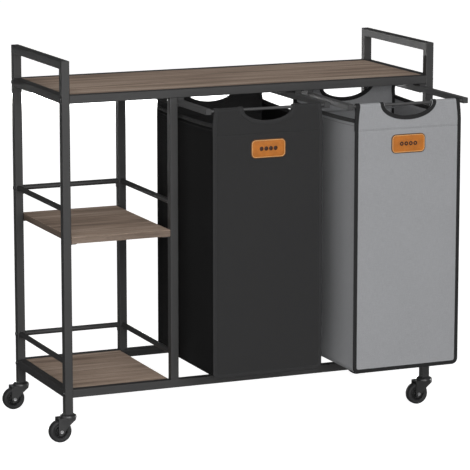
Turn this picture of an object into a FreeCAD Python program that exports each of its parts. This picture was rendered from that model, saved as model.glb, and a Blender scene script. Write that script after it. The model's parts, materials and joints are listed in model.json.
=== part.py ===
"""Rolling laundry sorter: a square-tube cart with a shelf bay and two hanging bags.

Millimetres, +Z up, front towards -Y.  While building, X runs from the outer face of
the left posts and Y from the front face of the front posts; every piece is then moved
so that the origin is the bottom centre of the whole object, with both bags drawn out
as far as they stand at rest.
"""
import FreeCAD, Part
import math
import os

V = FreeCAD.Vector

# ---- cart frame -----------------------------------------------------------------
frame_width = 925.0        # across the outer faces of the left and right posts
frame_depth = 350.0        # across the front and rear faces of the posts
tube = 19.0                # square tube
tube_wall = 1.2
tube_round = 1.6           # outer corners of the tubes
foot_len = 36.0            # posts below the bottom rails
top_height = 793.0         # upper face of the top rails
handle_rise = 77.0         # grip bars above the top rails
divider_x = 258.5          # left face of the posts between the two bays
guard_d = 12.5             # round guard bars
guard_wall = 1.0
guard_above = 61.0         # centre of a guard bar above the shelf that it guards
guard_foot_drop = 15.0     # pressed end tab below the guard bar's centre
guard_foot_t = 2.0

# ---- boards ---------------------------------------------------------------------
board_t = 15.0
board_gap = 0.5            # between a board's edge and the tube beside it
board_sink = 0.5           # framed boards lie this far below the rails
board_round = 0.8          # all edges
shelf_top = 472.0          # upper face of the middle shelf
tab_t = 3.0                # steel tabs under the boards
tab_w = 26.0
tab_reach = 15.0
tab_back = 8.0             # shelf tabs behind the outer faces of the posts

# ---- fasteners ------------------------------------------------------------------
bolt_d = 6.0
bolt_head_d = 10.0
bolt_head_h = 2.8
key_flats = 4.0            # hexagonal key recess
key_depth = 1.6
bolt_bite = 12.0           # shank inside the rail or guard bar's end
end_plate_t = 3.0          # threaded plate that closes a rail's end
bolt_clear = 0.15          # radial, bolt in the post walls

# ---- drawer tracks, runners and rods --------------------------------------------
runner = 13.0              # square runner tube
runner_wall = 1.2
runner_round = 1.2         # outer corners
runner_top_gap = 6.0       # runner below the top rails
slide_gap = 0.1            # runner to track, each face
track_wall = 1.6
track_side_gap = 1.0       # outer tracks to the posts
drawer_gap = 16.0          # between the two middle tracks
track_stop_t = 2.0
rod_d = 7.0
rod_bite = 8.0             # rod inside the runner
cap_t = 1.5
cap_plug = 1.5

# ---- bags -----------------------------------------------------------------------
rear_room = 12.0           # behind a closed drawer, to the rear of the frame
bag_lift = 31.0            # bags above the bottom rails
side_drop = 35.5           # upper edge of the side walls below the rods
bag_cloth = 3.0
hem_cloth = 3.5            # gathered cloth around the rod
runner_to_bag = 5.0
grip_half = 61.0           # hand cut-out, half its width
grip_drop = 29.0           # cut-out below the rod's top
dark_out = 158.0           # how far the left bag stands out at rest
light_out = 214.0          # how far the right bag stands out at rest
label_w, label_h, label_t, label_r = 85.0, 43.5, 1.8, 11.0
label_below = 121.0        # label centre below the top rails

# ---- casters --------------------------------------------------------------------
wheel_d = 52.0
wheel_w = 20.0
wheel_edge = 4.0           # rounding of the tread
hub_d = 30.0               # recess in each side of the wheel
hub_recess = 4.0
trail = 20.0               # axle behind the swivel's axis
axle_d = 6.0
rivet_d = 7.4
rivet_h = 1.5
spin_gap = 0.05            # radial, axle in wheel and stem in socket
fork_gap = 1.5             # wheel to fork leg
fork_t = 2.5
crown_over = 2.5           # fork crown above the wheel
crown_half = 19.0          # radius of the swivel head
crown_back = 5.0           # fork crown ends this far short of the swivel head
stem_d = 9.0
stem_len = 32.0
socket_flange = 1.7
head_h = 7.0               # swivel head above the crown
head_gap = 0.3             # swivel head to socket flange

# ---- places that follow from the sizes above --------------------------------------
leg_half = wheel_w / 2 + fork_gap + fork_t
crown_z = wheel_d + crown_over
head_top = crown_z + fork_t + head_h
post_foot = head_top + head_gap + socket_flange
rail_low = post_foot + foot_len
rail_top = rail_low + tube
top_low = top_height - tube
handle_top = top_height + handle_rise
right_x = frame_width - tube
rear_y = frame_depth - tube
bay_x = divider_x + tube
inner = tube - 2 * tube_wall
mid = tube / 2
runner_z = top_low - runner_top_gap - runner
rod_z = runner_z + runner / 2
guard_heights = (rail_top + guard_above, shelf_top + guard_above)
track_skin = track_wall + slide_gap
drawer_width = (right_x - bay_x - drawer_gap) / 2 - track_side_gap - 2 * track_skin
bag_width = drawer_width - 2 * (runner_to_bag + runner)
bag_depth = frame_depth - rear_room
bag_floor = rail_top + bag_lift
bag_side_top = rod_z - side_drop
sleeve_r = rod_d / 2 + hem_cloth
rod_inset = sleeve_r
dark_x = bay_x + track_side_gap + track_skin
light_x = right_x - track_side_gap - track_skin - drawer_width

pieces = {}


def box(x0, x1, y0, y1, z0, z1):
    return Part.makeBox(x1 - x0, y1 - y0, z1 - z0, V(x0, y0, z0))


def rod(r, start, direction, length):
    return Part.makeCylinder(r, length, V(*start), V(*direction))


def fuse(shapes):
    return shapes[0].multiFuse(shapes[1:]).removeSplitter()


def cut(shape, tools):
    return shape.cut(tools).removeSplitter()


def softened(shape, radius, axis=None):
    """Rounds the straight edges that run along one axis, or every edge."""
    def runs(edge):
        a, b = edge.Vertexes[0].Point, edge.Vertexes[1].Point
        return abs((b - a)[axis]) > 0.5 * edge.Length

    return shape.makeFillet(radius, [e for e in shape.Edges if axis is None or runs(e)])


def hollow(x0, x1, y0, y1, z0, z1, axis, wall=tube_wall, corner=tube_round):
    """Square tube that is open at both ends along one axis."""
    lo, hi = [x0, y0, z0], [x1, y1, z1]
    for i in range(3):
        grow = -1.0 if i == axis else wall
        lo[i] += grow
        hi[i] -= grow
    skin = softened(box(x0, x1, y0, y1, z0, z1), corner, axis)
    return skin.cut(box(lo[0], hi[0], lo[1], hi[1], lo[2], hi[2]))


def prism(points, direction):
    """Solid made by pushing a closed outline along a vector."""
    wire = Part.makePolygon([V(*p) for p in points] + [V(*points[0])])
    return Part.Face(wire).extrude(V(*direction))


# ---- posts ------------------------------------------------------------------------
bolt_rows = {"front": (rail_low + mid, top_height - mid)}
bolt_rows["rear"] = bolt_rows["front"] + guard_heights


def bolt_hole(x, y, z):
    """Clearance through both walls of a post, along X."""
    return rod(bolt_d / 2 + bolt_clear, (x - 1, y, z), (1, 0, 0), tube + 2)


for side, x in (("left", 0.0), ("right", right_x)):
    for end, y in (("front", 0.0), ("rear", rear_y)):
        post = hollow(x, x + tube, y, y + tube, post_foot, handle_top, 2)
        outer, inboard = (y, y + tube) if end == "front" else (y + tube, y)
        away = 2 * inboard - outer
        mitre = prism(
            [
                (x - 1, outer, handle_top),
                (x - 1, inboard, handle_top - tube),
                (x - 1, away, handle_top - tube),
                (x - 1, away, handle_top + 1),
                (x - 1, outer, handle_top + 1),
            ],
            (tube + 2, 0, 0),
        )
        rows = bolt_rows["front"] if side == "right" else bolt_rows[end]
        holes = [bolt_hole(x, y + mid, z) for z in rows]
        pieces[f"{side}_{end}_post"] = cut(post, [mitre] + holes)

    bar = hollow(x, x + tube, 0, frame_depth, handle_top - tube, handle_top, 1)
    ends = []
    for y, way in ((0.0, 1), (frame_depth, -1)):
        ends.append(
            prism(
                [
                    (x - 1, y - way, handle_top + 1),
                    (x - 1, y, handle_top),
                    (x - 1, y + way * tube, handle_top - tube),
                    (x - 1, y + way * tube, handle_top - tube - 1),
                    (x - 1, y - way, handle_top - tube - 1),
                ],
                (tube + 2, 0, 0),
            )
        )
    pieces[f"{side}_handle"] = cut(bar, ends)
    pieces[f"{side}_top_rail"] = hollow(x, x + tube, tube, rear_y, top_low, top_height, 1)
    pieces[f"{side}_bottom_rail"] = hollow(x, x + tube, tube, rear_y, rail_low, rail_top, 1)

for end, y in (("front", 0.0), ("rear", rear_y)):
    pieces[f"middle_{end}_post"] = hollow(
        divider_x, bay_x, y, y + tube, rail_top, top_low, 2
    )

# ---- long rails, closed at each end by a threaded plate ----------------------------
for level, z in (("top", top_low), ("bottom", rail_low)):
    for end, y in (("front", 0.0), ("rear", rear_y)):
        rail = hollow(tube, right_x, y, y + tube, z, z + tube, 0)
        wall = tube_wall
        plates = [
            box(x, x + end_plate_t, y + wall, y + tube - wall, z + wall, z + tube - wall)
            for x in (tube, right_x - end_plate_t)
        ]
        bores = [
            rod(bolt_d / 2, (x, y + mid, z + mid), (1, 0, 0), end_plate_t + 2)
            for x in (tube - 1, right_x - end_plate_t - 1)
        ]
        pieces[f"{level}_{end}_rail"] = cut(fuse([rail] + plates), bores)

# ---- guard bars --------------------------------------------------------------------
def guard(start, direction, length, bore=0.0):
    """Round bar whose ends are pressed into tabs that lie flat on the posts."""
    side = (direction[1], direction[0], 0)
    bar = rod(guard_d / 2, start, direction, length)
    core = rod(
        guard_d / 2 - guard_wall,
        [s + d * guard_foot_t for s, d in zip(start, direction)],
        direction,
        length - 2 * guard_foot_t,
    )
    tabs = []
    for at in (0.0, length - guard_foot_t):
        a = [s + d * at - w * guard_d / 2 for s, d, w in zip(start, direction, side)]
        tab = prism(
            [
                (a[0], a[1], a[2]),
                (a[0] + side[0] * guard_d, a[1] + side[1] * guard_d, a[2]),
                (a[0] + side[0] * guard_d, a[1] + side[1] * guard_d, a[2] - guard_foot_drop),
                (a[0], a[1], a[2] - guard_foot_drop),
            ],
            [d * guard_foot_t for d in direction],
        )
        tabs.append(tab)
    solid = fuse([bar] + tabs).cut(core)
    if bore:
        solid = solid.cut(rod(bore, [s - d for s, d in zip(start, direction)], direction, 8.0))
    return solid.removeSplitter()


for name, z in zip(("lower", "upper"), guard_heights):
    run = rear_y - tube
    pieces[f"left_guard_{name}"] = guard((mid, tube, z), (0, 1, 0), run)
    pieces[f"middle_guard_{name}"] = guard((divider_x + mid, tube, z), (0, 1, 0), run)
    pieces[f"rear_guard_{name}"] = guard(
        (tube, rear_y + mid, z), (1, 0, 0), divider_x - tube, bolt_d / 2
    )

# ---- boards and the tabs that carry them --------------------------------------------
g = board_gap
top_face = top_height - board_sink
low_face = rail_top - board_sink
boards = {
    "top_board": (right_x - g, tube + g, rear_y - g, top_face),
    "bottom_shelf": (divider_x - g, tube + g, rear_y - g, low_face),
    "middle_shelf": (divider_x - g, 0, frame_depth, shelf_top),
}
for name, (x1, y0, y1, face) in boards.items():
    pieces[name] = softened(box(tube + g, x1, y0, y1, face - board_t, face), board_round)


def rail_tabs(stations, under):
    """Tabs on the inner faces of the front and rear rails."""
    out = []
    for x in stations:
        for y in (tube, rear_y - tab_reach):
            out.append(box(x - tab_w / 2, x + tab_w / 2, y, y + tab_reach, under - tab_t, under))
    return out


first = tube + 2 * tab_w
last = right_x - 2 * tab_w
pieces["top_board_tabs"] = Part.makeCompound(
    rail_tabs(
        [first, (first * 2 + last) / 3, (first + last * 2) / 3, last], top_face - board_t
    )
)
pieces["bottom_shelf_tabs"] = Part.makeCompound(
    rail_tabs([first, divider_x - tab_w], low_face - board_t)
)
shelf_tabs = []
for x in (tube, divider_x - tab_reach):
    for y in (tab_back, rear_y):
        under = shelf_top - board_t
        shelf_tabs.append(box(x, x + tab_reach, y, y + tube - tab_back, under - tab_t, under))
pieces["middle_shelf_tabs"] = Part.makeCompound(shelf_tabs)

# ---- bolts through the posts ---------------------------------------------------------
bolts = []
for x, way, rows in ((0.0, 1, bolt_rows), (frame_width, -1, {"rear": bolt_rows["front"]})):
    for end, y in (("front", mid), ("rear", rear_y + mid)):
        for z in rows.get(end, bolt_rows["front"]):
            shank = rod(bolt_d / 2, (x, y, z), (way, 0, 0), tube + bolt_bite)
            head = rod(bolt_head_d / 2, (x, y, z), (-way, 0, 0), bolt_head_h)
            face = x - way * bolt_head_h
            rim = [e for e in head.Edges if abs(e.BoundBox.XMin - face) < 0.01
                   and e.BoundBox.XLength < 0.01]
            reach = key_flats / math.sqrt(3)
            hexagon = [(face, y + reach * math.cos(math.pi / 3 * k),
                        z + reach * math.sin(math.pi / 3 * k)) for k in range(6)]
            key = prism(hexagon, (way * key_depth, 0, 0))
            bolts.append(cut(fuse([shank, head.makeFillet(bolt_head_h * 0.6, rim)]), [key]))
pieces["frame_bolts"] = Part.makeCompound(bolts)

# ---- drawers: tracks, runners, rods, bags and labels -----------------------------------
track_top = runner_z + runner + slide_gap + track_wall


def track(x, way):
    """Channel open towards the bag; x is the outer face of its runner."""
    skin = x - way * track_skin
    web = sorted((skin, x - way * slide_gap))
    wide = sorted((skin, x + way * runner))
    low = runner_z - slide_gap - track_wall
    y0, y1 = board_gap, frame_depth - board_gap
    stop_y = bag_depth + board_gap
    parts = [
        box(*web, y0, y1, low, track_top),
        box(*wide, y0, y1, low, low + track_wall),
        box(*wide, y0, y1, track_top - track_wall, track_top),
        box(*wide, stop_y, stop_y + track_stop_t, low, track_top),
        box(*wide, y0, tube, track_top, top_low),
        box(*wide, rear_y, y1, track_top, top_low),
    ]
    return fuse(parts)


def grip_cutter(xc, y0, y1):
    """Half ellipse below the rod's top, open upwards."""
    z = rod_z + rod_d / 2
    arc = Part.Ellipse(V(xc, y0, z), grip_half, grip_drop)
    arc.rotate(FreeCAD.Placement(V(xc, y0, z), FreeCAD.Rotation(V(1, 0, 0), 90), V(0, 0, 0)))
    disc = Part.Face(Part.Wire(arc.toShape())).extrude(V(0, y1 - y0, 0))
    above = box(xc - grip_half, xc + grip_half, y0, y1, z, z + 3 * sleeve_r)
    return [disc, above]


def bag(x0, y0):
    x1, y1 = x0 + bag_width, y0 + bag_depth
    c = bag_cloth
    body = box(x0, x1, y0, y1, bag_floor, rod_z)
    inside = box(x0 + c, x1 - c, y0 + c, y1 - c, bag_floor + c, rod_z + 1)
    sides = box(x0 - 1, x1 + 1, y0 + c, y1 - c, bag_side_top, rod_z + 1)
    hems = [
        rod(sleeve_r, (x0, y, rod_z), (1, 0, 0), bag_width)
        for y in (y0 + sleeve_r, y1 - sleeve_r)
    ]
    tunnels = [
        rod(rod_d / 2, (x0 - 1, y, rod_z), (1, 0, 0), bag_width + 2)
        for y in (y0 + rod_inset, y1 - rod_inset)
    ]
    walls = body.cut([inside, sides])
    shape = fuse([walls] + hems).cut(tunnels + grip_cutter((x0 + x1) / 2, y0 - 1, y1 + 1))
    return shape.removeSplitter()


def label(xc, y):
    z = top_height - label_below
    plate = box(xc - label_w / 2, xc + label_w / 2, y - label_t, y, z - label_h / 2,
                z + label_h / 2)
    corners = [e for e in plate.Edges if e.BoundBox.YLength > label_t / 2]
    return plate.makeFillet(label_r, corners)


def drawer(name, x, out):
    """Everything that slides as one, and the two fixed tracks beside it."""
    y0 = -out
    y1 = y0 + bag_depth
    caps = []
    for side, rx, way in (("left", x, 1), ("right", x + drawer_width, -1)):
        pieces[f"{name}_{side}_track"] = track(rx, way)
        xs = sorted((rx, rx + way * runner))
        tube_shape = hollow(*xs, y0 + cap_t, y1 - cap_t, runner_z, runner_z + runner, 1,
                            runner_wall, runner_round)
        bores = [
            rod(rod_d / 2, (rx + way * runner / 2, y, rod_z), (way, 0, 0), runner)
            for y in (y0 + rod_inset, y1 - rod_inset)
        ]
        pieces[f"{name}_{side}_runner"] = cut(tube_shape, bores)
        for y, back in ((y0, 1), (y1, -1)):
            w = runner_wall
            plate = sorted((y, y + back * cap_t))
            plug = sorted((y, y + back * (cap_t + cap_plug)))
            cover = box(*xs, *plate, runner_z, runner_z + runner)
            insert = box(xs[0] + w, xs[1] - w, *plug, runner_z + w, runner_z + runner - w)
            caps.append(fuse([softened(cover, runner_round, 1), insert]))
    pieces[f"{name}_runner_caps"] = Part.makeCompound(caps)
    start = x + runner - rod_bite
    length = drawer_width - 2 * (runner - rod_bite)
    for end, y in (("front", y0 + rod_inset), ("rear", y1 - rod_inset)):
        pieces[f"{name}_{end}_rod"] = rod(rod_d / 2, (start, y, rod_z), (1, 0, 0), length)
    bag_x = x + runner + runner_to_bag
    pieces[f"{name}_bag"] = bag(bag_x, y0)
    pieces[f"{name}_label"] = label(bag_x + bag_width / 2, y0)


drawer("dark", dark_x, dark_out)
drawer("light", light_x, light_out)

# ---- casters ---------------------------------------------------------------------------
sockets = []


def wheel(x, y):
    r = wheel_d / 2
    disc = rod(r, (x, y - wheel_w / 2, r), (0, 1, 0), wheel_w)
    rims = [e for e in disc.Edges if e.BoundBox.YLength < 0.01]
    disc = disc.makeFillet(wheel_edge, rims)
    hub_r = hub_d / 2
    cuts = [rod(axle_d / 2 + spin_gap, (x, y - wheel_w, r), (0, 1, 0), 2 * wheel_w)]
    for way in (-1, 1):
        face = y + way * wheel_w / 2
        ring = rod(hub_r, (x, face, r), (0, -way, 0), hub_recess)
        boss = rod(axle_d, (x, face, r), (0, -way, 0), hub_recess)
        cuts.append(ring.cut(boss))
    return disc.cut(cuts)


def fork(x, y):
    """Swivel head, stem and two legs; x, y is the swivel's axis."""
    ax, az = x - trail, wheel_d / 2
    eye = axle_d / 2 + 4.5
    nose = x + crown_half - crown_back
    legs = []
    for lo in (y - leg_half, y + leg_half - fork_t):
        side = prism(
            [
                (ax - eye + 1, lo, crown_z + fork_t),
                (ax - eye, lo, az),
                (ax + eye, lo, az),
                (ax + eye + 8.5, lo, az + 11),
                (nose, lo, crown_z - fork_t),
                (nose, lo, crown_z + fork_t),
            ],
            (0, fork_t, 0),
        )
        legs.append(side)
        legs.append(rod(eye, (ax, lo, az), (0, 1, 0), fork_t))
    crown = box(ax - eye + 1, nose, y - leg_half, y + leg_half,
                crown_z, crown_z + fork_t)
    head = rod(crown_half, (x, y, crown_z + fork_t / 2), (0, 0, 1),
               head_top - crown_z - fork_t / 2)
    rim = [e for e in head.Edges if abs(e.BoundBox.ZMin - head_top) < 0.01
           and e.BoundBox.ZLength < 0.01]
    head = head.makeFillet((head_top - crown_z - fork_t) * 0.8, rim)
    stem = rod(stem_d / 2, (x, y, crown_z), (0, 0, 1), head_top - crown_z + stem_len)
    pin = rod(axle_d / 2, (ax, y - 2 * leg_half, az), (0, 1, 0), 4 * leg_half)
    return cut(fuse(legs + [crown, head, stem]), [pin])


def axle(x, y):
    az = wheel_d / 2
    shapes = [rod(axle_d / 2, (x, y - leg_half, az), (0, 1, 0), 2 * leg_half)]
    for way in (-1, 1):
        shapes.append(rod(rivet_d / 2, (x, y + way * leg_half, az), (0, way, 0), rivet_h))
    return fuse(shapes)


def socket(x, y):
    """Plug that fills the post's end and turns in no other way than the stem does."""
    h = inner / 2
    top = post_foot + stem_len + 2
    plug = box(x - h, x + h, y - h, y + h, post_foot, top)
    flange = box(x - mid, x + mid, y - mid, y + mid, post_foot - socket_flange, post_foot)
    flange = softened(flange, tube_round, 2)
    z0 = post_foot - socket_flange - 1
    bore = rod(stem_d / 2 + spin_gap, (x, y, z0), (0, 0, 1), stem_len + 1)
    return cut(fuse([plug, flange]), [bore])


for side, x in (("left", mid), ("right", right_x + mid)):
    for end, y in (("front", mid), ("rear", rear_y + mid)):
        pieces[f"{side}_{end}_fork"] = fork(x, y)
        pieces[f"{side}_{end}_wheel"] = wheel(x - trail, y)
        pieces[f"{side}_{end}_axle"] = axle(x - trail, y)
        sockets.append(socket(x, y))
pieces["caster_sockets"] = Part.makeCompound(sockets)

# ---- move to the origin and write --------------------------------------------------------
left_end = mid - trail - wheel_d / 2
right_end = right_x + mid + crown_half
front_end = -max(dark_out, light_out) - label_t
rear_end = rear_y + mid + crown_half
shift = V(-(left_end + right_end) / 2, -(front_end + rear_end) / 2, 0)

os.makedirs("parts", exist_ok=True)
for node, shape in pieces.items():
    moved = shape.copy()
    moved.translate(shift)
    moved.exportStep(f"parts/{node}.step")

print(len(pieces), "pieces moved by", tuple(round(c, 3) for c in shift))
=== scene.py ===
"""Looks of a rolling laundry sorter: a square-tube cart, three boards and two hanging bags.

Metres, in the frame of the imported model: X to the right, front towards -Y, Z up.
"""
import json
import math
import random

import bmesh
import bpy
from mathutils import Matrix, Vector, noise


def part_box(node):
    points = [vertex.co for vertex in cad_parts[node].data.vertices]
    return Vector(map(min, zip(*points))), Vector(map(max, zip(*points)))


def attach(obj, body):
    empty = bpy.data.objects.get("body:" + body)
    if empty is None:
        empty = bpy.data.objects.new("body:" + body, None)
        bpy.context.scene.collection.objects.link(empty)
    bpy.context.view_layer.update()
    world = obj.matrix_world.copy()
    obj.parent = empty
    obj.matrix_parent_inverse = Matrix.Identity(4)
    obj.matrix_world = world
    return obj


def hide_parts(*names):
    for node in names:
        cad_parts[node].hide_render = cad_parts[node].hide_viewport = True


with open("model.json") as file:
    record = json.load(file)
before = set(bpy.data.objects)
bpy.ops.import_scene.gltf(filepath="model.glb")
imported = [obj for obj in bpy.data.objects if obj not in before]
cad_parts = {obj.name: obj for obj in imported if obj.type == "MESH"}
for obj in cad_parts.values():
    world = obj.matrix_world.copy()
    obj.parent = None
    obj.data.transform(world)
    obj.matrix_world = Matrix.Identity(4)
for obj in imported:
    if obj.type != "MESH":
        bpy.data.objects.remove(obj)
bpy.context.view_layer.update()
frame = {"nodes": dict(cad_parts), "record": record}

MM = 0.001
random.seed(7)

# ---- cloth ------------------------------------------------------------------------
CLOTH = 1.4 * MM             # thickness
PANEL_IN = 1.0 * MM          # middle of the front panel behind the CAD bag's face
SLEEVE_Y = 6.0 * MM          # sleeve around the rod, half its depth
SLEEVE_UP = 1.1 * MM         # gap between the rod and the cloth over it
SEAM_BELOW_ROD = 55.5 * MM   # stitched line that closes the sleeve
TEAR = 22.0 * MM             # height in which the sleeve narrows below the rod
LAYER = 2.2 * MM             # between the two layers of the sleeve's lower part
GRIP_HALF = 61.0 * MM        # half the clear width of the hand cut-out
GRIP_DROP = 29.5 * MM        # its clear depth below the top of the rod
SIDE_BELOW_ROD = 35.5 * MM   # upper edge of the side walls
SIDE_SAG = 4.0 * MM          # that edge hangs lower midway
SIDE_PULL = 5.5 * MM         # side walls drawn in midway
SIDE_WAVE = 2.2 * MM         # their slow unevenness
SIDE_FOLD = 2.0 * MM         # upright fold down the middle of each
PANEL_PULL = 1.6 * MM        # the same for the front and rear panels
PANEL_WAVE = 1.3 * MM
FLOOR_SAG = 6 * MM           # the bottom hangs lower in the middle
FLOOR_WAVE = 2 * MM
DARK_FLOOR = 155.0 * MM      # height of each bag's bottom edge
LIGHT_FLOOR = 149.0 * MM
CORNER_FRONT = 13.0 * MM     # bottom corners in the front view
CORNER_PLAN = 4.0 * MM
CORNER_SIDE = 6.0 * MM
BAND = 9.6 * MM              # binding tape
BAND_T = 3.4 * MM
BAND_OVER = 1.2 * MM         # tape beyond the cloth's edge
SHOULDER = 4.0 * MM          # the sleeve's ends lean in by this
STITCH_PITCH = 4.2 * MM
STITCH_LEN = 2.9 * MM
STITCH_R = 0.36 * MM
SEAM_ROWS = 3.0 * MM         # between the two rows of stitches under a sleeve

# ---- labels -----------------------------------------------------------------------
LABEL_T = 2.0 * MM
LABEL_CORNER = 11.0 * MM
MARK_R = 4.9 * MM            # discs and rings
MARK_HOLE = 1.7 * MM         # radius of a ring's hole
MARK_PITCH = 11.4 * MM
MARKS = 4

# ---- colours ----------------------------------------------------------------------
DARK = (0.0140, 0.0140, 0.0143)
LIGHT = (0.205, 0.208, 0.215)
# from the deepest grain to the palest
WOOD = ((0.190, 0.137, 0.102), (0.300, 0.223, 0.174), (0.385, 0.292, 0.230), (0.490, 0.383, 0.307))
SIDE_SHADE = 0.36             # painted shade: the boards' sides against their faces

# ---- studio -----------------------------------------------------------------------
GLOW = 0.90                  # the floor's own light, seen by the camera alone
FLOOR_REACH = 60.0
WORLD_LIGHT = 0.12
BOX_WIDTH = 3.0              # soft boxes
STRIP = 0.11                 # height of the low strip lights
CART_MIDDLE = Vector((0, 0, 0.45))


# ---- node helpers -----------------------------------------------------------------
def shader(name):
    """New material: its node tree and its Principled shader."""
    mat = bpy.data.materials.new(name)
    mat.use_nodes = True
    tree = mat.node_tree
    return mat, tree, tree.nodes["Principled BSDF"]


def node(tree, kind, sockets=None, **props):
    n = tree.nodes.new("ShaderNode" + kind)
    for key, value in props.items():
        setattr(n, key, value)
    for key, value in (sockets or {}).items():
        if isinstance(value, bpy.types.NodeSocket):
            tree.links.new(value, n.inputs[key])
        else:
            n.inputs[key].default_value = value
    return n


def calc(tree, operation, *values):
    return node(tree, "Math", dict(enumerate(values)), operation=operation).outputs[0]


def stretched(tree, source, scale):
    return node(tree, "Mapping", {"Vector": source, "Scale": scale}).outputs[0]


def noise_value(tree, vector, scale, detail=3.0, rough=0.55):
    sockets = {"Vector": vector, "Scale": scale, "Detail": detail, "Roughness": rough}
    return node(tree, "TexNoise", sockets).outputs["Fac"]


def ramp(tree, factor, stops):
    n = node(tree, "ValToRGB", {"Fac": factor})
    ends = n.color_ramp.elements
    while len(ends) < len(stops):
        ends.new(0.5)
    for end, (place, colour) in zip(ends, stops):
        end.position = place
        end.color = (*colour, 1.0)
    return n.outputs["Color"]


def remap(tree, value, lo, hi, from_lo=0.0, from_hi=1.0):
    sockets = {"Value": value, "From Min": from_lo, "From Max": from_hi, "To Min": lo, "To Max": hi}
    return node(tree, "MapRange", sockets).outputs[0]


def tint(colour, by):
    return tuple(min(1.0, c * by) for c in colour)


def mix(tree, factor, a, b, blend="MIX"):
    n = node(tree, "Mix", data_type="RGBA", blend_type=blend)
    for socket, value in zip((n.inputs[0], n.inputs[6], n.inputs[7]), (factor, a, b)):
        if isinstance(value, bpy.types.NodeSocket):
            tree.links.new(value, socket)
        else:
            socket.default_value = value if not isinstance(value, tuple) else (*value, 1.0)
    return n.outputs[2]


def bumped(tree, bsdf, layers):
    """Stacks bump nodes: (height, distance in metres, strength)."""
    normal = None
    for height, distance, strength in layers:
        sockets = {"Height": height, "Distance": distance, "Strength": strength}
        if normal:
            sockets["Normal"] = normal
        normal = node(tree, "Bump", sockets).outputs[0]
    tree.links.new(normal, bsdf.inputs["Normal"])


def place(tree, which="Object"):
    return node(tree, "TexCoord").outputs[which]


def connect(tree, bsdf, **links):
    for key, value in links.items():
        tree.links.new(value, bsdf.inputs[key.replace("_", " ")])


# ---- materials --------------------------------------------------------------------
def powder_coat(name, colour, rough=0.5, specular=0.4, edge_glint=1.7):
    """Baked-on coat: orange peel, faint mottling and edges painted a little lighter as a highlight."""
    mat, tree, bsdf = shader(name)
    at = place(tree)
    peel = noise_value(tree, at, 1100.0, 2.0)
    cloud = noise_value(tree, at, 9.0, 4.0, 0.6)
    speck = noise_value(tree, at, 4200.0, 1.0)
    bent = node(tree, "Bevel", {"Radius": 0.0009}, samples=3).outputs[0]
    flat = node(tree, "NewGeometry").outputs["Normal"]
    along = node(tree, "VectorMath", {0: bent, 1: flat}, operation="DOT_PRODUCT").outputs["Value"]
    # painted highlight: a mask of the edges, from the bevelled normal, brightens the colour there
    edge = remap(tree, along, 1.0, 0.0, 0.86, 0.995)
    edge = calc(tree, "MULTIPLY", edge, remap(tree, cloud, 0.25, 1.0, 0.35, 0.65))
    base = ramp(tree, cloud, [(0.30, tint(colour, 0.90)), (0.70, tint(colour, 1.10))])
    base = mix(tree, remap(tree, speck, 0.0, 0.35, 0.55, 0.75), base, tint(colour, 1.35))
    base = mix(tree, edge, base, tint(colour, edge_glint))
    connect(tree, bsdf, Base_Color=base,
            Roughness=remap(tree, cloud, rough - 0.05, rough + 0.07, 0.3, 0.7))
    bsdf.inputs["Specular IOR Level"].default_value = specular
    bumped(tree, bsdf, [(peel, 0.00012, 0.55), (speck, 0.00004, 0.4)])
    return mat


def oak_foil(name):
    """Grey-brown wood pattern, grain along X, with each board's sides painted darker as shade."""
    mat, tree, bsdf = shader(name)
    at = place(tree)
    axes = node(tree, "SeparateXYZ", {0: at}).outputs
    facing = node(tree, "SeparateXYZ", {0: place(tree, "Normal")}).outputs
    end_face = calc(tree, "GREATER_THAN", calc(tree, "ABSOLUTE", facing[0]), 0.8)
    swapped = node(tree, "CombineXYZ", {0: axes[1], 1: axes[2], 2: axes[0]}).outputs[0]
    grain_at = node(tree, "Mix", {0: end_face, 4: at, 5: swapped}, data_type="VECTOR").outputs[1]
    sway = noise_value(tree, stretched(tree, grain_at, (1.6, 9.0, 9.0)), 1.0, 2.0)
    shift = node(tree, "CombineXYZ", {1: calc(tree, "MULTIPLY", sway, 0.05)}).outputs[0]
    bent = node(tree, "VectorMath", {0: grain_at, 1: shift}, operation="ADD").outputs[0]
    broad = noise_value(tree, stretched(tree, bent, (2.4, 46.0, 46.0)), 1.0, 3.0, 0.6)
    streak = noise_value(tree, stretched(tree, bent, (5.5, 170.0, 170.0)), 1.0, 4.0, 0.65)
    fibre = noise_value(tree, stretched(tree, bent, (22.0, 900.0, 900.0)), 1.0, 2.0, 0.5)
    pores = noise_value(tree, stretched(tree, grain_at, (60.0, 1500.0, 1500.0)), 1.0, 1.0)
    base = ramp(tree, broad, [(0.30, WOOD[0]), (0.43, WOOD[1]), (0.54, WOOD[2]), (0.70, WOOD[3])])
    fine = ramp(tree, streak, [(0.30, (0.50, 0.48, 0.46)), (0.5, (0.98, 0.98, 0.98)),
                               (0.70, (1.0, 1.0, 1.0))])
    base = mix(tree, 0.85, base, fine, "MULTIPLY")
    thread = ramp(tree, fibre, [(0.3, (0.8, 0.79, 0.78)), (0.6, (1.04, 1.04, 1.04))])
    base = mix(tree, 0.7, base, thread, "MULTIPLY")
    pore = remap(tree, pores, 0.0, 0.6, 0.62, 0.72)
    base = mix(tree, pore, base, tint(WOOD[0], 0.55))
    # painted shade: faces not turned up or down get the grain multiplied darker
    side = calc(tree, "LESS_THAN", calc(tree, "ABSOLUTE", facing[2]), 0.5)
    base = mix(tree, side, base, (SIDE_SHADE, SIDE_SHADE, SIDE_SHADE), "MULTIPLY")
    connect(tree, bsdf, Base_Color=base, Roughness=remap(tree, streak, 0.74, 0.62, 0.3, 0.7))
    bsdf.inputs["Specular IOR Level"].default_value = 0.15
    bumped(tree, bsdf, [(fibre, 0.00010, 0.5), (pores, 0.00010, 0.5)])
    return mat


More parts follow.
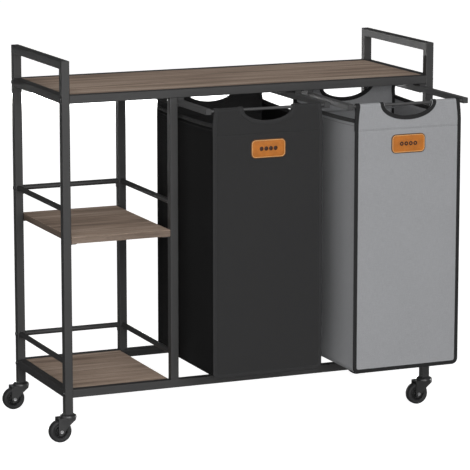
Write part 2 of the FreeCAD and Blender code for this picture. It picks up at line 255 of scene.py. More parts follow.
def weave(name, colour, pitch=0.9 * MM, rough=0.82, sheen=0.1, twill=False, fleck=0.3, specular=0.2):
    """Plain weave or twill tape, threads along the cloth's own coordinates."""
    mat, tree, bsdf = shader(name)
    at = node(tree, "UVMap", uv_map="cloth").outputs[0]
    uv = node(tree, "SeparateXYZ", {0: at}).outputs
    turns = math.pi / pitch
    u = calc(tree, "MULTIPLY", uv[0], turns)
    v = calc(tree, "MULTIPLY", uv[1], turns)
    if twill:
        rib = calc(tree, "ABSOLUTE", calc(tree, "SINE", calc(tree, "ADD", u, calc(tree, "MULTIPLY", v, 0.6))))
        height = calc(tree, "POWER", rib, 0.6)
    else:
        warp = calc(tree, "ABSOLUTE", calc(tree, "SINE", u))
        weft = calc(tree, "ABSOLUTE", calc(tree, "SINE", v))
        over = calc(tree, "MULTIPLY", calc(tree, "COSINE", u), calc(tree, "COSINE", v))
        over = remap(tree, over, 0.0, 1.0, -0.25, 0.25)
        height = calc(tree, "ADD", calc(tree, "MULTIPLY", warp, over),
                      calc(tree, "MULTIPLY", weft, calc(tree, "SUBTRACT", 1.0, over)))
    slub_u = noise_value(tree, stretched(tree, at, (60.0, 1000.0, 1.0)), 1.0, 2.0)
    slub_v = noise_value(tree, stretched(tree, at, (1000.0, 60.0, 1.0)), 1.0, 2.0)
    slub = calc(tree, "MULTIPLY", calc(tree, "ADD", slub_u, slub_v), 0.5)
    cloud = noise_value(tree, place(tree), 7.0, 4.0, 0.6)
    base = ramp(tree, slub, [(0.34, tint(colour, 1.0 - fleck)), (0.66, tint(colour, 1.0 + fleck))])
    # painted shade: the hollows between threads are darkened towards 0.45 of the colour
    base = mix(tree, remap(tree, height, 0.45, 0.0), base, tint(colour, 0.45))
    base = mix(tree, remap(tree, cloud, 0.0, 0.16, 0.35, 0.75), base, tint(colour, 1.12))
    connect(tree, bsdf, Base_Color=base, Roughness=remap(tree, slub, rough - 0.08, rough + 0.08, 0.3, 0.7))
    bsdf.inputs["Specular IOR Level"].default_value = specular
    bsdf.inputs["Sheen Weight"].default_value = sheen
    bsdf.inputs["Sheen Roughness"].default_value = 0.45
    bumped(tree, bsdf, [(height, 0.00022, 0.7), (slub, 0.00012, 0.5)])
    return mat


def faux_leather(name, colour, dark):
    mat, tree, bsdf = shader(name)
    at = place(tree)
    cells = node(tree, "TexVoronoi", {"Vector": at, "Scale": 900.0}, feature="DISTANCE_TO_EDGE")
    crease = remap(tree, cells.outputs["Distance"], 0.0, 1.0, 0.0, 0.22)
    cloud = noise_value(tree, at, 60.0, 4.0, 0.6)
    fine = noise_value(tree, at, 2600.0, 2.0)
    base = ramp(tree, cloud, [(0.32, tint(colour, 0.84)), (0.68, tint(colour, 1.14))])
    # painted shade: the creases of the grain are darkened towards the dark colour
    base = mix(tree, remap(tree, crease, 0.45, 0.0), base, dark)
    connect(tree, bsdf, Base_Color=base, Roughness=remap(tree, cloud, 0.42, 0.56, 0.3, 0.7))
    bsdf.inputs["Specular IOR Level"].default_value = 0.2
    bumped(tree, bsdf, [(crease, 0.00010, 0.6), (fine, 0.00004, 0.4)])
    return mat


def moulded(name, colour, rough=0.5, specular=0.4, grain=1500.0, scuffs=0.2, dust=1.5):
    """Rubber or plastic: fine spark grain, dull scuffed patches and a little dust."""
    mat, tree, bsdf = shader(name)
    at = place(tree)
    fine = noise_value(tree, at, grain, 2.0)
    cloud = noise_value(tree, at, 38.0, 5.0, 0.65)
    scratch = noise_value(tree, stretched(tree, at, (300.0, 60.0, 300.0)), 1.0, 3.0)
    base = ramp(tree, cloud, [(0.34, tint(colour, 0.86)), (0.66, tint(colour, 1.16))])
    base = mix(tree, remap(tree, scratch, 0.0, scuffs, 0.56, 0.72), base, tint(colour, dust))
    connect(tree, bsdf, Base_Color=base, Roughness=remap(tree, cloud, rough - 0.07, rough + 0.1, 0.3, 0.7))
    bsdf.inputs["Specular IOR Level"].default_value = specular
    bumped(tree, bsdf, [(fine, 0.00006, 0.5), (scratch, 0.00005, 0.3)])
    return mat


def plated(name, colour, rough=0.28):
    mat, tree, bsdf = shader(name)
    at = place(tree)
    brush = noise_value(tree, stretched(tree, at, (400.0, 4000.0, 400.0)), 1.0, 3.0)
    cloud = noise_value(tree, at, 300.0, 3.0)
    base = ramp(tree, cloud, [(0.3, tint(colour, 0.82)), (0.7, tint(colour, 1.08))])
    connect(tree, bsdf, Base_Color=base, Roughness=remap(tree, brush, rough - 0.08, rough + 0.14, 0.3, 0.7))
    bsdf.inputs["Metallic"].default_value = 1.0
    bumped(tree, bsdf, [(brush, 0.00003, 0.4)])
    return mat


def pale_floor(name):
    mat, tree, bsdf = shader(name)
    at = place(tree)
    cloud = noise_value(tree, at, 0.6, 2.0)
    connect(tree, bsdf, Base_Color=ramp(tree, cloud, [(0.3, (0.49, 0.49, 0.49)), (0.7, (0.51, 0.51, 0.51))]))
    bsdf.inputs["Roughness"].default_value = 0.9
    bsdf.inputs["Specular IOR Level"].default_value = 0.0
    bsdf.inputs["Emission Color"].default_value = (1.0, 1.0, 1.0, 1.0)
    bsdf.inputs["Emission Strength"].default_value = GLOW
    return mat


finish = {
    "frame": powder_coat("frame_coat", (0.0213, 0.0210, 0.0210), specular=0.28),
    "track": powder_coat("track_coat", (0.017, 0.017, 0.0173), specular=0.25),
    "runner": powder_coat("runner_coat", (0.052, 0.052, 0.0525), rough=0.42, specular=0.4),
    "rod": powder_coat("rod_coat", (0.036, 0.036, 0.0365), rough=0.40, specular=0.35),
    "wood": oak_foil("oak_foil"),
    # painted highlight along the fork's edges, stronger than on the frame
    "fork": powder_coat("fork_steel", (0.017, 0.017, 0.0173), rough=0.34, specular=0.45, edge_glint=3.0),
    "axle": plated("zinc", (0.62, 0.62, 0.63)),
    "bolt": powder_coat("black_oxide", (0.016, 0.016, 0.0165), rough=0.34, specular=0.45),
    "plug": moulded("plug_plastic", (0.022, 0.022, 0.0225), specular=0.3),
    "wheel": moulded("tread_rubber", (0.0155, 0.0155, 0.016), rough=0.62, specular=0.2),
    "hub": moulded("hub_plastic", (0.008, 0.008, 0.0083), rough=0.44, specular=0.3),
    "bag_dark": weave("cloth_dark", DARK, sheen=0.04, specular=0.22),
    # painted shade: the dark bag's side walls, the same cloth at half its colour with less gloss
    "dark_side_shade": weave("cloth_black", tint(DARK, 0.50), sheen=0.0, specular=0.06),
    "bag_light": weave("cloth_light", LIGHT, fleck=0.11, sheen=0.08),
    "tape": weave("tape_black", (0.0085, 0.0085, 0.0088), pitch=0.8 * MM, twill=True, sheen=0.03),
    "tape_dark": weave("tape_charcoal", (0.0165, 0.0165, 0.017), pitch=0.8 * MM, twill=True, sheen=0.04),
    "thread_dark": weave("thread_charcoal", (0.021, 0.021, 0.0215), pitch=0.5 * MM, twill=True, sheen=0.05),
    "thread_black": weave("thread_black", (0.015, 0.015, 0.0155), pitch=0.5 * MM, twill=True, sheen=0.05),
    "thread_light": weave("thread_grey", (0.13, 0.13, 0.134), pitch=0.5 * MM, twill=True, sheen=0.05),
    "thread_tan": weave("thread_tan", (0.52, 0.33, 0.17), pitch=0.5 * MM, twill=True, sheen=0.05),
    "label": faux_leather("label_leather", (0.300, 0.098, 0.011), (0.14, 0.042, 0.006)),
    # painted shadow: near-black rim round each label
    "label_edge": faux_leather("label_edge", (0.060, 0.026, 0.010), (0.03, 0.012, 0.004)),
    # painted highlight: the raised piping is coloured lighter than the patch
    "label_piping": faux_leather("label_piping", (0.44, 0.22, 0.075), (0.24, 0.10, 0.03)),
    "label_mark": faux_leather("label_mark", (0.030, 0.009, 0.004), (0.015, 0.005, 0.002)),
}

slots = {m["slot"] for m in frame["record"]["materials"]}
for part in frame["nodes"].values():
    for s in part.material_slots:
        old = s.material.name if s.material else ""
        key = next((k for k in slots if old == k or old.startswith(k + ".")), None)
        if key:
            s.material = finish[key]


# ---- mesh helpers -------------------------------------------------------------------
class Skin:
    """Collects faces with cloth coordinates, then makes one mesh of them."""

    def __init__(self):
        self.points, self.faces, self.cloth = [], [], []

    def face(self, indices, cloth):
        self.faces.append(indices)
        self.cloth += cloth

    def grid(self, rows, flip=False, around=False):
        """rows of (point, (u, v)); around joins each row's last point to its first."""
        start, n = len(self.points), len(rows[0])
        for row in rows:
            self.points += [p for p, _ in row]
        for j in range(len(rows) - 1):
            for i in range(n if around else n - 1):
                k = (i + 1) % n
                ring = [(j, i), (j, k), (j + 1, k), (j + 1, i)]
                if flip:
                    ring.reverse()
                self.face([start + a * n + b for a, b in ring], [rows[a][b][1] for a, b in ring])
        return start

    def lid(self, indices, flip=False):
        ring = list(reversed(indices)) if flip else list(indices)
        self.face(ring, [(self.points[i][0], self.points[i][2]) for i in ring])

    def mesh(self, name, material, body, weld=True):
        data = bpy.data.meshes.new(name)
        data.from_pydata([tuple(p) for p in self.points], [], self.faces)
        layer = data.uv_layers.new(name="cloth")
        for loop, uv in zip(layer.data, self.cloth):
            loop.uv = uv
        bm = bmesh.new()
        bm.from_mesh(data)
        if weld:
            bmesh.ops.remove_doubles(bm, verts=bm.verts, dist=0.00001)
            bmesh.ops.recalc_face_normals(bm, faces=bm.faces)
        for f in bm.faces:
            f.smooth = True
        bm.to_mesh(data)
        bm.free()
        data.materials.append(finish[material])
        piece = bpy.data.objects.new(name, data)
        bpy.context.scene.collection.objects.link(piece)
        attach(piece, body)
        return piece


def sweep(skin, path, normals, section, closed=False, outward=1):
    """Pushes a closed section along a path. A section point is (across, up)."""
    count = len(path)
    rows, run = [], 0.0
    for i, (p, up) in enumerate(zip(path, normals)):
        before = path[i - 1] if i or closed else p
        after = path[(i + 1) % count] if i < count - 1 or closed else p
        along = (after - before).normalized()
        across = up.cross(along).normalized() * outward
        up = along.cross(across).normalized() * outward
        if i:
            run += (p - path[i - 1]).length
        rows.append([(p + across * a + up * b, (run, a)) for a, b in section])
    if closed:
        rows.append([(p, (run + 0.004, uv[1])) for p, uv in rows[0]])
    n = len(section)
    start = skin.grid(rows, around=True)
    if not closed:
        skin.lid(range(start, start + n), flip=True)
        skin.lid(range(start + (count - 1) * n, start + count * n))


def tape_section(width, thick, over):
    """Folded tape: flat faces and round edges; the cloth's edge is at across = 0."""
    r = thick / 2
    out = []
    for centre, turn in ((width - over - r, 0.0), (r - over, math.pi)):
        for k in range(5):
            a = turn - math.pi / 2 + math.pi * k / 4
            out.append((centre + r * math.cos(a), r * math.sin(a) * (0.92 if k in (0, 4) else 1.0)))
    return out


def stitches(skin, path, normals, closed=False):
    """Short raised threads along a path."""
    points = list(path) + ([path[0]] if closed else [])
    ups = list(normals) + ([normals[0]] if closed else [])
    ahead = STITCH_PITCH / 2
    for a, b, up_a, up_b in zip(points, points[1:], ups, ups[1:]):
        length = (b - a).length
        if length < 1e-9:
            continue
        along = (b - a) / length
        while ahead < length:
            up = up_a.lerp(up_b, ahead / length).normalized()
            stitch(skin, a + along * ahead, along, up)
            ahead += STITCH_PITCH * random.uniform(0.97, 1.03)
        ahead -= length


def stitch(skin, centre, along, up):
    side = up.cross(along).normalized()
    start = len(skin.points)
    n = 5
    for step, fat, rise in ((-0.5, 0.35, -0.7), (-0.28, 0.95, 0.35), (0.28, 0.95, 0.35), (0.5, 0.35, -0.7)):
        for k in range(n):
            turn = 2 * math.pi * k / n
            skin.points.append(centre + along * (STITCH_LEN * step)
                               + side * (STITCH_R * fat * math.cos(turn))
                               + up * (STITCH_R * (fat * math.sin(turn) + rise)))
    for ring in range(3):
        for k in range(n):
            a, b = start + ring * n, start + (ring + 1) * n
            face = [a + k, a + (k + 1) % n, b + (k + 1) % n, b + k]
            skin.face(face, [(ring * 0.001, k * 0.0002)] * 4)
    skin.face([start + k for k in reversed(range(n))], [(0.0, 0.0)] * n)
    skin.face([start + 3 * n + k for k in range(n)], [(0.0, 0.0)] * n)


def eased(lo, hi, count):
    """Places from lo to hi, closer together at both ends."""
    return [lo + (hi - lo) * (0.5 - 0.5 * math.cos(math.pi * k / count)) for k in range(count + 1)]


def even(lo, hi, count):
    return [lo + (hi - lo) * k / count for k in range(count + 1)]


def smooth_step(t):
    t = max(0.0, min(1.0, t))
    return t * t * (3 - 2 * t)


def rounded(a, b, edge_a, edge_b, radius):
    """Moves a point of a square corner onto a round one; the edges are (place, way in)."""
    da = radius - (a - edge_a[0]) * edge_a[1]
    db = radius - (b - edge_b[0]) * edge_b[1]
    if da <= 0 or db <= 0:
        return a, b
    fit = max(da, db) / math.hypot(da, db)
    return (edge_a[0] + edge_a[1] * (radius - da * fit), edge_b[0] + edge_b[1] * (radius - db * fit))


# ---- bags ---------------------------------------------------------------------------
class Bag:
    """Open bag hung from two rods by sleeves, with taped edges and a hand cut-out each end."""

    def __init__(self, name, floor_z):
        self.name, self.body = name, f"{name}_drawer"
        lo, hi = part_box(f"{name}_bag")
        rod_lo, rod_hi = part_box(f"{name}_front_rod")
        self.x0, self.x1, self.xc = lo.x, hi.x, (lo.x + hi.x) / 2
        self.face, self.yc = lo.y + PANEL_IN, (lo.y + hi.y) / 2
        self.back = 2 * self.yc - self.face
        self.rod_y, self.rod_z = (rod_lo.y + rod_hi.y) / 2, (rod_lo.z + rod_hi.z) / 2
        self.rod_r = (rod_hi.z - rod_lo.z) / 2
        self.floor = floor_z
        self.side_z = self.rod_z - SIDE_BELOW_ROD
        self.seam_z = self.rod_z - SEAM_BELOW_ROD
        self.rise = self.rod_r + SLEEVE_UP + CLOTH / 2
        self.grip_z = self.rod_z + self.rod_r
        self.hole_a, self.hole_b = GRIP_HALF + BAND_OVER, GRIP_DROP + BAND_OVER
        self.hole_low = self.grip_z - self.hole_b

    # The panel's profile: up the front, round the rod and down behind it.
    def front_y(self, z):
        t = max(0.0, z - self.rod_z) / self.rise
        return self.rod_y - SLEEVE_Y * math.sqrt(max(0.0, 1 - t * t))

    def behind_y(self, z):
        if z >= self.rod_z:
            return 2 * self.rod_y - self.front_y(z)
        near = self.front_y(z) + LAYER
        t = max(0.0, 1 - (self.rod_z - z) / TEAR)
        return near + (self.rod_y + SLEEVE_Y - near) * t * t

    def half_hole(self, z):
        t = min(1.0, max(0.0, (self.grip_z - z) / self.hole_b))
        return self.hole_a * math.sqrt(1 - t * t)

    def profile(self):
        """(y, z, half width of the cut-out) from the cut-out's foot, over the rod."""
        front = []
        for k in range(19):
            z = self.grip_z - self.hole_b * math.cos(math.pi / 2 * k / 18)
            front.append((self.front_y(z), z, self.half_hole(z)))
        start = math.asin(min(1.0, (self.grip_z - self.rod_z) / self.rise))
        over = []
        for k in range(1, 8):
            a = start + (math.pi - 2 * start) * k / 8
            y = self.rod_y - SLEEVE_Y * math.cos(a)
            over.append((y, self.rod_z + self.rise * math.sin(a), self.hole_a))
        behind = [(self.behind_y(z), z, h) for _, z, h in reversed(front)]
        return front, over, behind

    def sleeve_normal(self, y, z, behind):
        if z <= self.rod_z:
            return Vector((0, 1 if behind else -1, 0))
        n = Vector((0, (y - self.rod_y) / SLEEVE_Y ** 2, (z - self.rod_z) / self.rise ** 2))
        return n.normalized()

    def lean(self, z):
        """How far the sleeve's outer end leans in at a height."""
        return SHOULDER * smooth_step((z - self.side_z) / (self.grip_z - self.side_z))

    def sag(self, p):
        """Where a point of the straight-sided bag hangs."""
        x, y, z = p
        x += (self.xc - x) / (self.xc - self.x0) * self.lean(z)
        u = (x - self.xc) / (self.x1 - self.xc)
        v = (y - self.yc) / (self.back - self.yc)
        w = max(0.0, min(1.0, (z - self.floor) / (self.side_z - self.floor)))
        ends = [(self.x0, 1) if u < 0 else (self.x1, -1), (self.face, 1) if v < 0 else (self.back, -1)]
        low = (self.floor, 1)
        if abs(v) <= 1.001 and z < self.side_z + 2 * MM:
            x, z = rounded(x, z, ends[0], low, CORNER_FRONT)
            y, z = rounded(y, z, ends[1], low, CORNER_SIDE)
            x, y = rounded(x, y, ends[0], ends[1], CORNER_PLAN)
        belly = math.sin(math.pi * min(1.0, w ** 0.8))
        wall = abs(u) ** 8 * (1 - v ** 2) * (0.25 + 0.75 * belly) * smooth_step(w / 0.08)
        soft = noise.noise(Vector((y * 7, z * 5, 3.1 + u))) * SIDE_WAVE
        fold = math.exp(-((v - 0.12 * math.sin(3 * w)) / 0.35) ** 2) * SIDE_FOLD
        x -= math.copysign(wall * (SIDE_PULL + soft + fold), u)
        panel = abs(v) ** 8 * (1 - u ** 2) * smooth_step((self.seam_z - 60 * MM - z) / (120 * MM))
        ripple = noise.noise(Vector((x * 9, z * 5, 1.7 + v))) * PANEL_WAVE
        y += math.copysign(panel * smooth_step(w / 0.06) * (PANEL_PULL * belly + ripple), v)
        base = (1 - u ** 2) * (1 - v ** 2) * (1 - smooth_step(w / 0.02))
        z -= base * (FLOOR_SAG + noise.noise(Vector((x * 14, y * 14, 0.3))) * FLOOR_WAVE)
        rim = (1 - v ** 2) * abs(u) ** 8 * w ** 3
        z -= rim * SIDE_SAG
        return Vector((x, y, z))

    def shell(self, material, side_material):
        skin = Skin()
        half = 18
        columns = [(x - self.x0) / (self.xc - self.x0) for x in eased(self.x0, self.x1, 2 * half)[:half + 1]]
        foot = [self.floor + d * MM for d in (0, 1.5, 3.2, 5.2, 7.8, 11, 15, 20)]
        levels = foot + even(self.floor + 28 * MM, self.seam_z - 14 * MM, 38)
        near = [self.seam_z + d * MM for d in (-6, -2.4, -1.2, 0, 1.2, 2.4, 6, 13)]
        levels += near + [self.side_z]

        def row(y, z, h, side):
            """One lobe's row: side -1 is the left lobe."""
            edge, inner = (self.x0, self.xc - h) if side < 0 else (self.x1, self.xc + h)
            line = [edge + (inner - edge) * c for c in columns]
            if side > 0:
                line.reverse()
            dent = 0.5 * MM * math.exp(-((z - self.seam_z) / (1.3 * MM)) ** 2)
            return [(Vector((x, y + dent, z)), (x, z)) for x in line]

        front, over, behind = self.profile()
        behind_full = [self.hole_low + (self.seam_z - 4 * MM - self.hole_low) * k / 6 for k in range(7)]
        for mirrored in (False, True):
            for side in (-1, 1):
                rows = [row(self.face, z, 0.0, side) for z in levels]
                rows += [row(y, z, h, side) for y, z, h in front + over + behind]
                rows += [row(self.behind_y(z), z, 0.0, side) for z in behind_full[1:]]
                if mirrored:
                    rows = [[(Vector((p.x, 2 * self.yc - p.y, p.z)), uv) for p, uv in r] for r in rows]
                skin.grid(rows, flip=mirrored)
        ys = eased(self.face, self.back, 26)
        for x, flip in ((self.x0, True), (self.x1, False)):
            skin.grid([[(Vector((x, y, z)), (y, z)) for y in ys] for z in levels], flip=flip)
        xs = [self.x0 + (self.xc - self.x0) * c for c in columns]
        xs += [2 * self.xc - x for x in reversed(xs[:-1])]
        skin.grid([[(Vector((x, y, self.floor)), (x, y)) for x in xs] for y in ys], flip=True)
        skin.points = [self.sag(p) for p in skin.points]
        piece = skin.mesh(f"{self.name}_bag_shell", material, self.body)
        piece.data.materials.append(finish[side_material])
        # painted shade on the dark bag: faces turned to the sides take the second, darker material
        for face in piece.data.polygons:
            face.material_index = int(abs(face.normal.x) > 0.8)
        thick = piece.modifiers.new("cloth", "SOLIDIFY")
        thick.thickness, thick.offset, thick.use_even_offset = CLOTH, 0.0, True
        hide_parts(f"{self.name}_bag")

    def outline(self, inset=0.0):
        """The panel's taped edge: down the left, round the corners and up the right."""
        left = []
        low = self.floor + inset
        for z in even(self.seam_z, self.rod_z, 8)[:-1]:
            left.append((Vector((self.x0 + inset + self.lean(z), self.behind_y(z), z)), Vector((0, 1, 0))))
        for k in range(13):
            a = math.pi * k / 12
            y, z = self.rod_y + SLEEVE_Y * math.cos(a), self.rod_z + self.rise * math.sin(a)
            spot = Vector((self.x0 + inset + self.lean(z), y, z))
            left.append((spot, self.sleeve_normal(y, z, a < math.pi / 2)))
        front = Vector((0, -1, 0))
        radius = CORNER_FRONT - inset
        for z in even(self.rod_z, low + radius, 30)[1:]:
            left.append((Vector((self.x0 + inset + self.lean(z), self.face, z)), front))
        for k in range(1, 9):
            a = math.pi / 2 * k / 8
            spot = (self.x0 + inset + radius * (1 - math.cos(a)), self.face, low + radius * (1 - math.sin(a)))
            left.append((Vector(spot), front))
        half = [(Vector((x, self.face, low)), front)
                for x in even(self.x0 + inset + radius, self.xc, 8)[1:-1]]
        path = left + half + [(Vector((self.xc, self.face, low)), front)]
        other = [(Vector((2 * self.xc - p.x, p.y, p.z)), n) for p, n in reversed(left + half)]
        return path + other

    def grip_loop(self, grow=0.0):
        """Round the cut-out: down and up the front layer, over the rod and back behind."""
        front, over, behind = self.profile()
        loop = []

        def add(y, z, h, side, is_behind):
            t = min(1.0, max(0.0, (self.grip_z - z) / self.hole_b))
            out_x = side * math.sqrt(1 - t * t)
            out_z = -t * self.hole_a / self.hole_b
            fit = grow / math.hypot(out_x, out_z)
            p = Vector((self.xc + side * h + out_x * fit, y, z + out_z * fit))
            loop.append((p, self.sleeve_normal(y, z, is_behind)))

        for y, z, h in reversed(front):
            add(y, z, h, -1, False)
        for y, z, h in front[1:]:
            add(y, z, h, 1, False)
        for y, z, h in over:
            add(y, z, h, 1, y > self.rod_y)
        for y, z, h in behind:
            add(y, z, h, 1, True)
        for y, z, h in list(reversed(behind))[1:]:
            add(y, z, h, -1, True)
        for y, z, h in reversed(over):
            add(y, z, h, -1, y > self.rod_y)
        return loop

    def rim_path(self, x, way, drop=0.0):
        """Upper edge of a side wall, from front to rear."""
        out = []
        for y in eased(self.face + BAND_T / 2, self.back - BAND_T / 2, 28):
            p = self.sag((x, y, self.side_z))
            out.append((Vector((p.x, p.y, p.z - drop)), Vector((way, 0, 0))))
        return out

    def mirror(self, path):
        return [(Vector((p.x, 2 * self.yc - p.y, p.z)), Vector((n.x, -n.y, n.z))) for p, n in path]

    def tapes(self, material, thread):
        section = tape_section(BAND, BAND_T, BAND_OVER)
        seam = BAND - BAND_OVER - 1.3 * MM
        lift = BAND_T / 2 * 0.94
        thread_skin = Skin()

        def sew(path, closed=False):
            lifted = [p + n * lift for p, n in path]
            stitches(thread_skin, lifted, [n for _, n in path], closed)

        for end, mirrored in (("front", False), ("rear", True)):
            turn = self.mirror if mirrored else list
            skin = Skin()
            pts, ups = zip(*turn(self.outline()))
            sweep(skin, pts, ups, section, outward=-1 if mirrored else 1)
            skin.mesh(f"{self.name}_bag_{end}_tape", material, self.body)
            sew(turn(self.outline(seam)))
            skin = Skin()
            pts, ups = zip(*turn(self.grip_loop()))
            sweep(skin, pts, ups, section, closed=True, outward=1 if mirrored else -1)
            skin.mesh(f"{self.name}_bag_{end}_grip_tape", material, self.body)
            sew(turn(self.grip_loop(seam)), closed=True)
        for side, x, way in (("left", self.x0, -1), ("right", self.x1, 1)):
            skin = Skin()
            pts, ups = zip(*self.rim_path(x, way))
            sweep(skin, pts, ups, section, outward=way)
            skin.mesh(f"{self.name}_bag_{side}_rim_tape", "tape", self.body)
            sew(self.rim_path(x, way, seam))
        thread_skin.mesh(f"{self.name}_bag_tape_stitches", thread, self.body, weld=False)

    def seams(self, thread):
        """Two rows of stitches close each sleeve."""
        skin = Skin()
        for rise in (0.0, SEAM_ROWS):
            for sign, y in ((-1, self.face), (1, self.back)):
                spots = [Vector((x, y + sign * CLOTH / 2, self.seam_z + rise))
                         for x in (self.x0 + BAND, self.x1 - BAND)]
                stitches(skin, spots, [Vector((0, sign, 0))] * 2)
        skin.mesh(f"{self.name}_bag_seam_stitches", thread, self.body, weld=False)


# ---- labels -------------------------------------------------------------------------
def rounded_rect(half_w, half_h, radius, steps=8):
    out = []
    for cx, cz, turn in ((1, 1, 0), (-1, 1, 1), (-1, -1, 2), (1, -1, 3)):
        for k in range(steps + 1):
            a = math.pi / 2 * (turn + k / steps)
            out.append((cx * (half_w - radius) + radius * math.cos(a),
                        cz * (half_h - radius) + radius * math.sin(a)))
    return out


def label(name, surface_y, mark):
    """Patch with a dark rim painted as the shadow round it, a raised piping inside it coloured lighter as a
    painted highlight, stitches and a row of plain marks.
    """
    lo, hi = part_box(f"{name}_label")
    mid = (lo + hi) / 2
    half_w, half_h = (hi.x - lo.x) / 2, (hi.z - lo.z) / 2
    body = f"{name}_drawer"

    def ring_at(inset, share):
        outline = rounded_rect(half_w - inset, half_h - inset, LABEL_CORNER - inset)
        return [(Vector((mid.x + x, surface_y - LABEL_T * share, mid.z + z)), (x, z)) for x, z in outline]

    def band(material, part, profile, back=False, front=False):
        """Closed bands and the field, from (inset in mm, share of the thickness)."""
        skin = Skin()
        rows = [ring_at(inset * MM, share) for inset, share in profile]
        n = len(rows[0])
        skin.grid(rows, around=True)
        if back:
            skin.lid(range(n), flip=True)
        if front:
            skin.lid(range((len(rows) - 1) * n, len(rows) * n))
        return skin.mesh(f"{name}_label_{part}", material, body)

    # painted shadow: the dark outer rim of the patch
    edge = band("label_edge", "edge", [(0.0, 0.0), (0.0, 0.5), (0.12, 0.8), (0.45, 0.92), (0.9, 0.96),
                                       (1.6, 0.96), (1.9, 0.90), (1.9, 0.0)], back=True)
    # raised band, coloured lighter as a painted highlight
    band("label_piping", "piping", [(1.9, 0.0), (1.9, 0.92), (2.1, 1.02), (2.5, 1.08), (3.1, 1.08),
                                    (3.5, 1.02), (3.7, 0.92), (3.7, 0.0)])
    band("label", "patch", [(3.7, 0.0), (3.7, 0.84), (4.1, 0.76), (4.6, 0.78), (5.4, 0.88), (6.6, 0.92),
                            (10.4, 0.93)], front=True)
    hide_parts(f"{name}_label")

    thread = Skin()
    path, ups = zip(*[(p, Vector((0, -1, 0))) for p, _ in ring_at(2.8 * MM, 1.1)])
    stitches(thread, path, ups, closed=True)
    thread.mesh(f"{name}_label_stitches", "thread_tan", body, weld=False)

    skin = Skin()
    hole = 0.0 if mark == "disc" else MARK_HOLE
    rim = [(hole, 0.80), (hole, 0.98), (hole + 0.3 * MM, 1.05), (MARK_R - 0.4 * MM, 1.05), (MARK_R, 0.98),
           (MARK_R, 0.80)]
    around = 28
    for k in range(MARKS):
        x = mid.x + (k - (MARKS - 1) / 2) * MARK_PITCH
        rows = []
        for radius, share in rim if hole else rim[3:]:
            turns = [2 * math.pi * j / around for j in range(around)]
            y = surface_y - LABEL_T * share
            spots = [Vector((x + radius * math.cos(a), y, mid.z + radius * math.sin(a))) for a in turns]
            rows.append([(spot, (spot.x, spot.z)) for spot in spots])
        if hole:
            skin.grid(rows + [rows[0]], around=True)
        else:
            start = skin.grid(rows, around=True)
            skin.lid(range(start, start + around), flip=True)
            skin.lid(range(start + 2 * around, start + 3 * around))
    skin.mesh(f"{name}_label_mark", "label_mark", body)


for name, floor_z, cloth, side_cloth, tape, thread, seam_thread, mark in (
    ("dark", DARK_FLOOR, "bag_dark", "dark_side_shade", "tape_dark", "thread_dark", "thread_dark", "disc"),
    ("light", LIGHT_FLOOR, "bag_light", "bag_light", "tape", "thread_black", "thread_light", "ring"),
):
    bag = Bag(name, floor_z)
    bag.shell(cloth, side_cloth)
    bag.tapes(tape, thread)
    bag.seams(seam_thread)
    label(name, bag.face - CLOTH / 2, mark)


# ---- wheels -------------------------------------------------------------------------
def lathe(skin, centre, profile, segments=72):
    """Turns a closed profile of (radius, across) about the Y axis through centre."""
    rows = []
    for k in range(segments):
        a = 2 * math.pi * k / segments
        rows.append([(centre + Vector((r * math.cos(a), y, r * math.sin(a))), (a * r, y))
                     for r, y in profile])
    rows.append(rows[0])
    skin.grid(rows, around=True)


def wheel(side, end):
    node_name = f"{side}_{end}_wheel"
    lo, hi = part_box(node_name)
    centre = (lo + hi) / 2
    r, half = (hi.z - lo.z) / 2, (hi.y - lo.y) / 2
    bore = 3.05 * MM
    body = f"{side}_{end}_roller"

    def both_sides(outer):
        """Mirrors a profile that runs from the middle plane to one side."""
        return outer + [(a, -b) for a, b in reversed(outer)]

    seat = r - 9.5 * MM
    tyre = both_sides([(r, 0.0), (r, 4.2 * MM), (r - 0.25 * MM, 6.2 * MM), (r - 1.1 * MM, 8.1 * MM),
                       (r - 2.6 * MM, 9.3 * MM), (r - 4.6 * MM, half), (r - 6.4 * MM, half),
                       (r - 7.0 * MM, half - 0.5 * MM), (r - 8.0 * MM, half - 0.6 * MM),
                       (seat, half - 0.9 * MM), (seat, 5.0 * MM)])
    skin = Skin()
    lathe(skin, centre, tyre)
    tread = skin.mesh(f"{node_name}_tyre", "wheel", body)
    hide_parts(node_name)

    rim = seat - 0.1 * MM
    hub = both_sides([(rim, 0.0), (rim, half - 0.9 * MM), (rim - 0.5 * MM, half - 0.4 * MM),
                      (rim - 1.3 * MM, half - 0.4 * MM), (rim - 1.8 * MM, half - 0.9 * MM),
                      (rim - 2.3 * MM, 3.4 * MM), (7.4 * MM, 2.6 * MM), (6.6 * MM, 3.2 * MM),
                      (6.0 * MM, half - 0.5 * MM), (5.5 * MM, half), (bore + 0.5 * MM, half),
                      (bore, half - 0.5 * MM)])
    skin = Skin()
    lathe(skin, centre, hub)
    spokes = 6
    for way in (-1, 1):
        for k in range(spokes):
            a = 2 * math.pi * (k + 0.5 * (way > 0)) / spokes
            out = Vector((math.cos(a), 0, math.sin(a)))
            flank = Vector((-math.sin(a), 0, math.cos(a)))
            rows = []
            for reach, top in ((5.6, 8.6), (8.5, 7.4), (11.0, 6.9), (14.6, 8.0)):
                ring = [(-1.0, 2.0), (1.0, 2.0), (0.75, top - 0.3),
                        (0.4, top), (-0.4, top), (-0.75, top - 0.3)]
                rows.append([(centre + out * reach * MM + flank * f * MM + Vector((0, way * h * MM, 0)),
                              (reach * MM, f * MM)) for f, h in ring])
            start = skin.grid(rows, around=True)
            skin.lid(range(start, start + 6), flip=True)
            skin.lid(range(start + 18, start + 24))
    skin.mesh(f"{node_name}_hub", "hub", body)


for side in ("left", "right"):
    for end in ("front", "rear"):
        wheel(side, end)


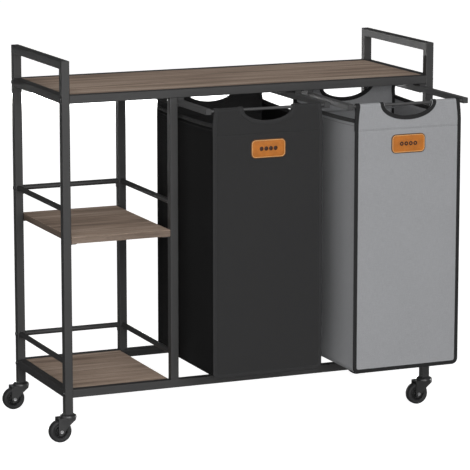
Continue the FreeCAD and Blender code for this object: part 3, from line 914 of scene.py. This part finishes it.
# ---- floor, light and camera ----------------------------------------------------------
floor_data = bpy.data.meshes.new("floor")
corners = [(x * FLOOR_REACH, y * FLOOR_REACH, 0) for x, y in ((-1, -1), (1, -1), (1, 1), (-1, 1))]
floor_data.from_pydata(corners, [], [(0, 1, 2, 3)])
floor_data.materials.append(pale_floor("pale_floor"))
floor = bpy.data.objects.new("floor", floor_data)
bpy.context.scene.collection.objects.link(floor)
floor.visible_diffuse = False
floor.visible_glossy = False

world = bpy.data.worlds.new("studio")
world.use_nodes = True
backdrop = world.node_tree.nodes["Background"]
backdrop.inputs["Color"].default_value = (1.0, 1.0, 1.0, 1.0)
backdrop.inputs["Strength"].default_value = WORLD_LIGHT
bpy.context.scene.world = world


def soft_box(name, spot, power, height=3.0):
    """Wide soft box, or a strip light where it is low, turned to the middle of the cart."""
    light = bpy.data.lights.new(name, "AREA")
    light.energy = power
    light.shape, light.size, light.size_y = "RECTANGLE", BOX_WIDTH, height
    stand = bpy.data.objects.new(name, light)
    stand.location = spot
    stand.rotation_euler = (CART_MIDDLE - Vector(spot)).to_track_quat("-Z", "Y").to_euler()
    bpy.context.scene.collection.objects.link(stand)


sky = bpy.data.lights.new("sky", "SUN")
sky.energy, sky.angle = 0.4, math.radians(60)
sky_stand = bpy.data.objects.new("sky", sky)
sky_stand.rotation_euler = (math.radians(8), 0, 0)
bpy.context.scene.collection.objects.link(sky_stand)
soft_box("key", (0.0, -5.9, 1.3), 298.0)
soft_box("left_key", (-3.4, -4.8, 1.3), 203.0)
soft_box("left_fill", (-5.7, -1.5, 1.5), 55.0)
soft_box("high_fill", (-1.4, -4.5, 4.0), 111.0)
soft_box("rear_fill", (0.8, 5.7, 0.06), 230.0, STRIP)
soft_box("right_fill", (5.7, 0.6, 0.06), 200.0, STRIP)

lens = bpy.data.cameras.new("camera")
lens.sensor_width = 36.0
lens.lens = 207.58
lens.clip_end = 200.0
camera = bpy.data.objects.new("camera", lens)
turn, dip = math.radians(23.202), math.radians(10.679)
camera.location = (-2.444446, -5.701945, 1.603546)
looking = Vector((math.sin(turn) * math.cos(dip), math.cos(turn) * math.cos(dip), -math.sin(dip)))
camera.rotation_euler = looking.to_track_quat("-Z", "Y").to_euler()
bpy.context.scene.collection.objects.link(camera)
bpy.context.scene.camera = camera
bpy.context.scene.view_settings.view_transform = "Standard"
